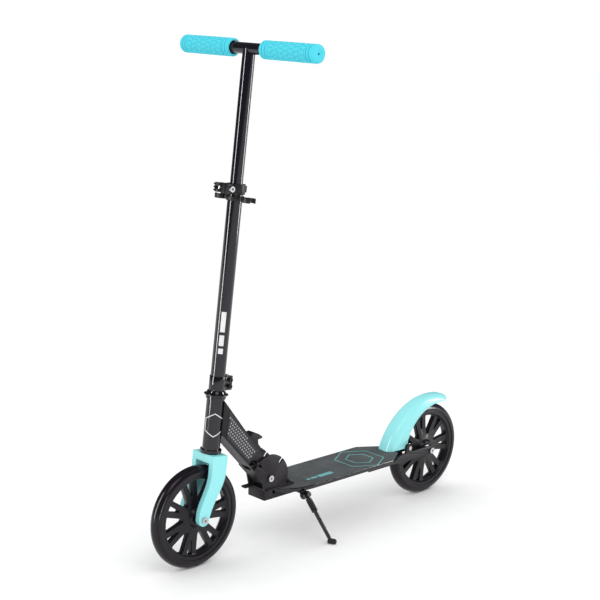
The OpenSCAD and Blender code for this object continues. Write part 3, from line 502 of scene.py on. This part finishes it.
class Grips(bpy.types.Operator):
    """Rubber grips with ring grooves, raised blocks and a holed end"""

    bl_idname = "scooter.grips"
    bl_label = "Grips"

    def ring_groove(self, r, start):
        """Points of one ring groove, from its start towards the grip's end."""
        deep, wall, width = 1.9 * MM, 0.5 * MM, 3 * MM
        return [(r, start), (r - deep, start + wall), (r - deep, start + width - wall), (r, start + width)]

    def sleeve(self):
        r, length, bore = GRIP_R, GRIP_OUT - GRIP_IN, 12.6 * MM
        body_r, end_r = r - 1.0 * MM, 5 * MM
        outline = [(bore, 0), (r - 2 * MM, 0), (r, 2 * MM), (r, 5 * MM)]
        for start in (7 * MM, 15 * MM):
            outline += self.ring_groove(r, start)
        outline += [(r, 20 * MM), (body_r, 21 * MM), (body_r, length - 22 * MM), (r, length - 21 * MM)]
        for start in (length - 19 * MM, length - 12 * MM):
            outline += self.ring_groove(r, start)
        outline += arc(r - end_r, length - end_r, end_r, 0, 90, 3)
        outline += [(7 * MM, length), (6.6 * MM, length - 0.8 * MM), (3.4 * MM, length - 0.8 * MM),
                    (3 * MM, length - 1.4 * MM), (2.2 * MM, length - 1.6 * MM), (2.2 * MM, length - 5 * MM),
                    (bore, length - 5.5 * MM)]
        return turned(outline, segments=84)

    def blocks(self, sizes):
        """Slanted blocks, leaning to alternate sides from row to row."""
        length = GRIP_OUT - GRIP_IN
        first, last = 28 * MM, length - 29 * MM
        thick, wide, long, slant, seat = 2.4 * MM, 6.6 * MM, 12.4 * MM, 16, 1.35 * MM
        deselect()
        bpy.ops.mesh.primitive_cube_add(size=1)
        block = bpy.context.object
        block.data.transform(Matrix.Diagonal((thick, wide, long, 1)))
        round_edges(block, 0.6 * MM, 2)
        made = []
        for row in range(sizes.grip_rows):
            at = first + (last - first) * row / (sizes.grip_rows - 1)
            lean = math.radians(slant if row % 2 else -slant)
            for i in range(sizes.grip_blocks):
                turn = 2 * math.pi * (i + 0.5 * (row % 2)) / sizes.grip_blocks
                one = copy_of(block)
                one.data.transform(Matrix.Rotation(turn, 4, "Z") @ Matrix.Translation(
                    (GRIP_R - seat, 0, at)) @ Matrix.Rotation(lean, 4, "X"))
                made.append(one)
        bpy.data.objects.remove(block)
        return joined(made)

    def execute(self, context):
        sleeve, blocks = self.sleeve(), self.blocks(context.scene.scooter_sizes)
        bar = COLUMN @ Matrix.Translation((0, 0, BAR_Z))
        upright = Matrix.Translation((0, GRIP_IN, 0)) @ lying_along_y()
        for side, flip in (("left", 0), ("right", math.pi)):
            place = bar @ Matrix.Rotation(flip, 4, "Z") @ upright
            body = side + "_grip"
            settle(copy_of(sleeve), "grip_sleeve_" + side, place, body, "turquoise_rubber",
                   turquoise_rubber(), "grip_" + side)
            settle(copy_of(blocks), "grip_blocks_" + side, place, body, "turquoise_rubber",
                   turquoise_rubber())
        for pattern in (sleeve, blocks):
            bpy.data.objects.remove(pattern)
        return {"FINISHED"}


class Deck(bpy.types.Operator):
    """Deck shell, gritted top and its generic printed marks"""

    bl_idname = "scooter.deck"
    bl_label = "Deck"

    def execute(self, context):
        sizes = context.scene.scooter_sizes
        softened("deck_plate", "deck", "black_paint", gloss_black(), 1.2 * MM, 3)
        softened("front_box", "deck", "dark_metal", satin_charcoal(), 0.8 * MM)
        softened("fold_bracket", "deck", "dark_metal", satin_charcoal(), sizes.edge)
        for side in ("left", "right"):
            softened("rear_arm_" + side, "deck", "dark_metal", satin_charcoal(), 0.7 * MM)
        mark_x, mark_y, dash_y, print_h = 201 * MM, 4 * MM, 27.5 * MM, 0.3 * MM
        top = REAR_AXLE @ Matrix.Translation((mark_x, mark_y, DECK_TOP - 0.05 * MM))
        for radius in (54, 31):
            line = hexagon_line(radius * MM, sizes.mark_line, print_h)
            settle(line, f"deck_mark_{radius}", top, "deck", "deck_grip", mint_print())
        bars = []
        for start, length, width in ((304, 38, 11), (346, 16, 6), (366, 8, 6)):
            deselect()
            bpy.ops.mesh.primitive_cube_add(size=1)
            bar = bpy.context.object
            centre = ((start + length / 2) * MM, dash_y, DECK_TOP + 0.1 * MM)
            size = Matrix.Diagonal((length * MM, width * MM, print_h, 1))
            bar.data.transform(Matrix.Translation(centre) @ size)
            round_edges(bar, 0.1 * MM, 1)
            bars.append(bar)
        settle(joined(bars), "deck_dashes", REAR_AXLE, "deck", "deck_grip", mint_print())
        return {"FINISHED"}


class Stem(bpy.types.Operator):
    """Down tube, its patterned side panels, head tube and latch"""

    bl_idname = "scooter.stem"
    bl_label = "Stem"

    def triangles(self, side, sizes):
        """Raised triangles pointing both ways by turns, kept inside the panel's outline."""
        node = "side_panel_" + side
        back = PIVOT.inverted()
        mesh = frame["nodes"][node].data
        points = [back @ v.co for v in mesh.vertices]
        skin = max(p.y for p in points) if side == "left" else min(p.y for p in points)
        faces = [[(points[i].x, points[i].z) for i in polygon.vertices] for polygon in mesh.polygons
                 if all(abs(points[i].y - skin) < 0.05 * MM for i in polygon.vertices)]
        pitch = sizes.panel_pitch
        margin = 0.4 * pitch
        far = 30
        deselect()
        bpy.ops.mesh.primitive_cylinder_add(vertices=3, radius=0.42 * pitch, depth=0.7 * MM)
        pattern = bpy.context.object
        round_edges(pattern, 0.2 * MM, 1)
        pattern.data.transform(Matrix.Rotation(math.pi / 2, 4, "X"))
        along = math.radians(49)
        made = []
        for column in range(-far, far + 1):
            for row in range(-far, far + 1):
                u, w = (column + 0.5 * (row % 2)) * pitch, row * 0.86 * pitch
                x = u * math.cos(along) - w * math.sin(along)
                z = u * math.sin(along) + w * math.cos(along)
                if all(inside((x + dx, z + dz), faces)
                       for dx in (-margin, margin) for dz in (-margin, margin)):
                    one = copy_of(pattern)
                    turn = along + (math.pi if (column + row) % 2 else 0)
                    one.data.transform(Matrix.Translation((x, skin, z)) @ Matrix.Rotation(-turn, 4, "Y"))
                    made.append(one)
        bpy.data.objects.remove(pattern)
        return joined(made)

    def execute(self, context):
        sizes = context.scene.scooter_sizes
        softened("down_tube", "stem", "dark_metal", satin_charcoal(), 1.2 * MM, 3)
        softened("latch_lever", "latch", "dark_metal", satin_charcoal(), 1.1 * MM, 3)
        for side in ("left", "right"):
            settle(self.triangles(side, sizes), "panel_triangles_" + side, PIVOT, "stem", "panel_print",
                   panel_print())
        self.head_mark(sizes)
        return {"FINISHED"}

    def head_mark(self, sizes):
        """Hexagon line bent round the head tube, facing forward and to the left."""
        mark_r, print_h = 23 * MM, 0.4 * MM
        mark = hexagon_line(mark_r, 0.9 * sizes.mark_line, print_h)
        pick(mark)
        bpy.ops.object.mode_set(mode="EDIT")
        bpy.ops.mesh.select_all(action="SELECT")
        bpy.ops.mesh.subdivide(number_cuts=7)
        bpy.ops.object.mode_set(mode="OBJECT")
        middle = (HEAD_LOW + HEAD_TOP) / 2
        facing = math.radians(55)
        for vertex in mark.data.vertices:
            across, up, out = vertex.co
            turn = facing + across / HEAD_R
            r = HEAD_R - 0.1 * MM + out
            vertex.co = (r * math.cos(turn), r * math.sin(turn), middle + up)
        settle(mark, "head_mark", COLUMN, "stem", "panel_print", white_print())


def inside(point, faces):
    """Whether a point lies in any of the flat faces, each a list of corners."""
    x, z = point
    for corners in faces:
        turns = []
        for i, (ax, az) in enumerate(corners):
            bx, bz = corners[(i + 1) % len(corners)]
            turns.append((bx - ax) * (z - az) - (bz - az) * (x - ax))
        if all(t >= 0 for t in turns) or all(t <= 0 for t in turns):
            return True
    return False


class Column(bpy.types.Operator):
    """Clamps, holder, quick lever and the tube's generic dashes"""

    bl_idname = "scooter.column"
    bl_label = "Column"

    def execute(self, context):
        edge = context.scene.scooter_sizes.edge
        softened("head_clamp", "steering", "black_paint", gloss_black(), edge)
        softened("lock_cone", "steering", "black_paint", gloss_black(), 0.6 * MM)
        softened("height_clamp", "steering", "black_plastic", black_nylon(), edge)
        softened("grip_holder", "steering", "black_plastic", black_nylon(), edge)
        softened("clamp_lever", "quick_lever", "black_plastic", black_nylon(), 0.7 * MM)
        self.dashes()
        return {"FINISHED"}

    def dashes(self):
        """Three plain strips that follow the steering tube's curve."""
        tube_r = span("steering_tube", COLUMN, 1)[1]
        low = span("steering_tube", COLUMN, 2)[0]
        made = []
        first, width, facing = 150 * MM, 9 * MM, math.radians(50)
        for length, drop in ((38 * MM, 0), (20 * MM, 44 * MM), (10 * MM, 69 * MM)):
            deselect()
            bpy.ops.mesh.primitive_grid_add(x_subdivisions=10, y_subdivisions=2, size=1)
            strip = bpy.context.object
            start = low + first - drop
            for vertex in strip.data.vertices:
                turn = facing + vertex.co.x * width / tube_r
                up = start - (vertex.co.y + 0.5) * length
                vertex.co = (tube_r * math.cos(turn), tube_r * math.sin(turn), up)
            thick = strip.modifiers.new("thickness", "SOLIDIFY")
            thick.thickness, thick.offset = 0.25 * MM, 0
            apply_modifiers(strip)
            made.append(strip)
        settle(joined(made), "tube_dashes", COLUMN, "steering", "panel_print", white_print())


class Stand(bpy.types.Operator):
    """Side stand's bracket"""

    bl_idname = "scooter.stand"
    bl_label = "Side stand"

    def execute(self, context):
        softened("stand_bracket", "deck", "black_paint", satin_charcoal(), 0.6 * MM)
        return {"FINISHED"}


class CarriedOver(bpy.types.Operator):
    """Finishes for the frame nodes that stay visible"""

    bl_idname = "scooter.carried_over"
    bl_label = "Kept nodes"
    blackened_steel = ("head_clamp_bolts", "lock_pin", "headset_bearings", "stand_spring",
                       "stand_bolt_set", "latch_spring", "bracket_bolts")

    def execute(self, context):
        by_slot = {
            "black_paint": gloss_black, "dark_metal": satin_charcoal, "deck_grip": deck_grit,
            "turquoise_plastic": turquoise_plastic, "turquoise_rubber": turquoise_rubber, "tyre": tyre_black,
            "rim_plastic": rim_black, "steel": plated_steel, "aluminium": plain_aluminium,
            "panel_print": gloss_black, "black_plastic": black_nylon, "black_rubber": black_rubber,
            "grey_plastic": grey_nylon,
        }
        for row in frame["record"]["subparts"]:
            node = frame["nodes"][row["node"]]
            node.data.materials.clear()
            made = blackened if row["node"] in self.blackened_steel else by_slot[row["material_slot"]]
            node.data.materials.append(made())
        return {"FINISHED"}


class Stage(bpy.types.Operator):
    """Pale floor, soft lights and the camera"""

    bl_idname = "scooter.stage"
    bl_label = "Stage"

    def light(self, name, at, aim, width, height, power, only_shine=False):
        lamp = bpy.data.lights.new(name, "AREA")
        lamp.shape, lamp.size, lamp.size_y, lamp.energy = "RECTANGLE", width, height, power
        holder = bpy.data.objects.new(name, lamp)
        bpy.context.scene.collection.objects.link(holder)
        holder.visible_diffuse = not only_shine
        holder.location = at
        holder.rotation_euler = (Vector(aim) - Vector(at)).to_track_quat("-Z", "Y").to_euler()

    def studio(self, world):
        """White room for the eye and for soft light, and a dark one for reflections in glossy paint."""
        world.use_nodes = True
        tree = world.node_tree
        room = tree.nodes["Background"]
        room.inputs["Color"].default_value = (1, 1, 1, 1)
        room.inputs["Strength"].default_value = 1.06
        dim = tree.nodes.new("ShaderNodeBackground")
        dim.inputs["Color"].default_value = (0.95, 0.97, 1, 1)
        dim.inputs["Strength"].default_value = 0.1
        path = tree.nodes.new("ShaderNodeLightPath")
        mix = tree.nodes.new("ShaderNodeMixShader")
        tree.links.new(path.outputs["Is Glossy Ray"], mix.inputs["Fac"])
        tree.links.new(room.outputs["Background"], mix.inputs[1])
        tree.links.new(dim.outputs["Background"], mix.inputs[2])
        tree.links.new(mix.outputs["Shader"], tree.nodes["World Output"].inputs["Surface"])

    def execute(self, context):
        deselect()
        bpy.ops.mesh.primitive_plane_add(size=40)
        floor = context.object
        floor.name = "floor"
        floor.data.materials.append(finish("floor_paper", (0.94, 0.94, 0.94), 0.9, grain=60, bump=0.02,
                                           mottle=0.01, shine=0.0))
        world = context.scene.world or bpy.data.worlds.new("studio")
        context.scene.world = world
        self.studio(world)
        middle = (0, 0, 0.5)
        self.light("key", (1.2, 2.2, 3.0), middle, 1.8, 1.8, 24)
        self.light("left_strip", (2.5, -0.6, 1.0), middle, 0.3, 2.4, 60, True)
        self.light("right_strip", (-2.0, 1.5, 1.0), middle, 0.3, 2.4, 60, True)
        context.scene.view_settings.view_transform = "Standard"
        eye, aim = Vector((1.9486, 2.0182, 1.0292)), Vector((0.0428, 0, 0.4761))
        lens = bpy.data.cameras.new("camera")
        lens.lens, lens.sensor_width = 86.57, 36
        camera = bpy.data.objects.new("camera", lens)
        context.scene.collection.objects.link(camera)
        camera.location = eye
        camera.rotation_euler = (aim - eye).to_track_quat("-Z", "Y").to_euler()
        context.scene.camera = camera
        return {"FINISHED"}


class ScooterPanel(bpy.types.Panel):
    """Sidebar list of the scooter's pieces"""

    bl_idname = "VIEW3D_PT_scooter"
    bl_label = "Kick scooter"
    bl_space_type = "VIEW_3D"
    bl_region_type = "UI"
    bl_category = "Scooter"

    def draw(self, context):
        for settings in (context.scene.scooter_sizes, context.scene.scooter_colours):
            for name in settings.__annotations__:
                self.layout.prop(settings, name)
        for piece in PIECES:
            self.layout.operator(piece.bl_idname)


PIECES = (Wheels, Fork, Fender, Grips, Deck, Stem, Column, Stand, CarriedOver, Stage)
CLASSES = (ScooterSizes, ScooterColours, *PIECES, ScooterPanel)


def register():
    for cls in CLASSES:
        bpy.utils.register_class(cls)
    bpy.types.Scene.scooter_sizes = PointerProperty(type=ScooterSizes)
    bpy.types.Scene.scooter_colours = PointerProperty(type=ScooterColours)


def unregister():
    del bpy.types.Scene.scooter_colours
    del bpy.types.Scene.scooter_sizes
    for cls in reversed(CLASSES):
        bpy.utils.unregister_class(cls)


def main():
    register()
    for piece in PIECES:
        group, call = piece.bl_idname.split(".")
        getattr(getattr(bpy.ops, group), call)()
    deselect()


if __name__ == "__main__":
    main()
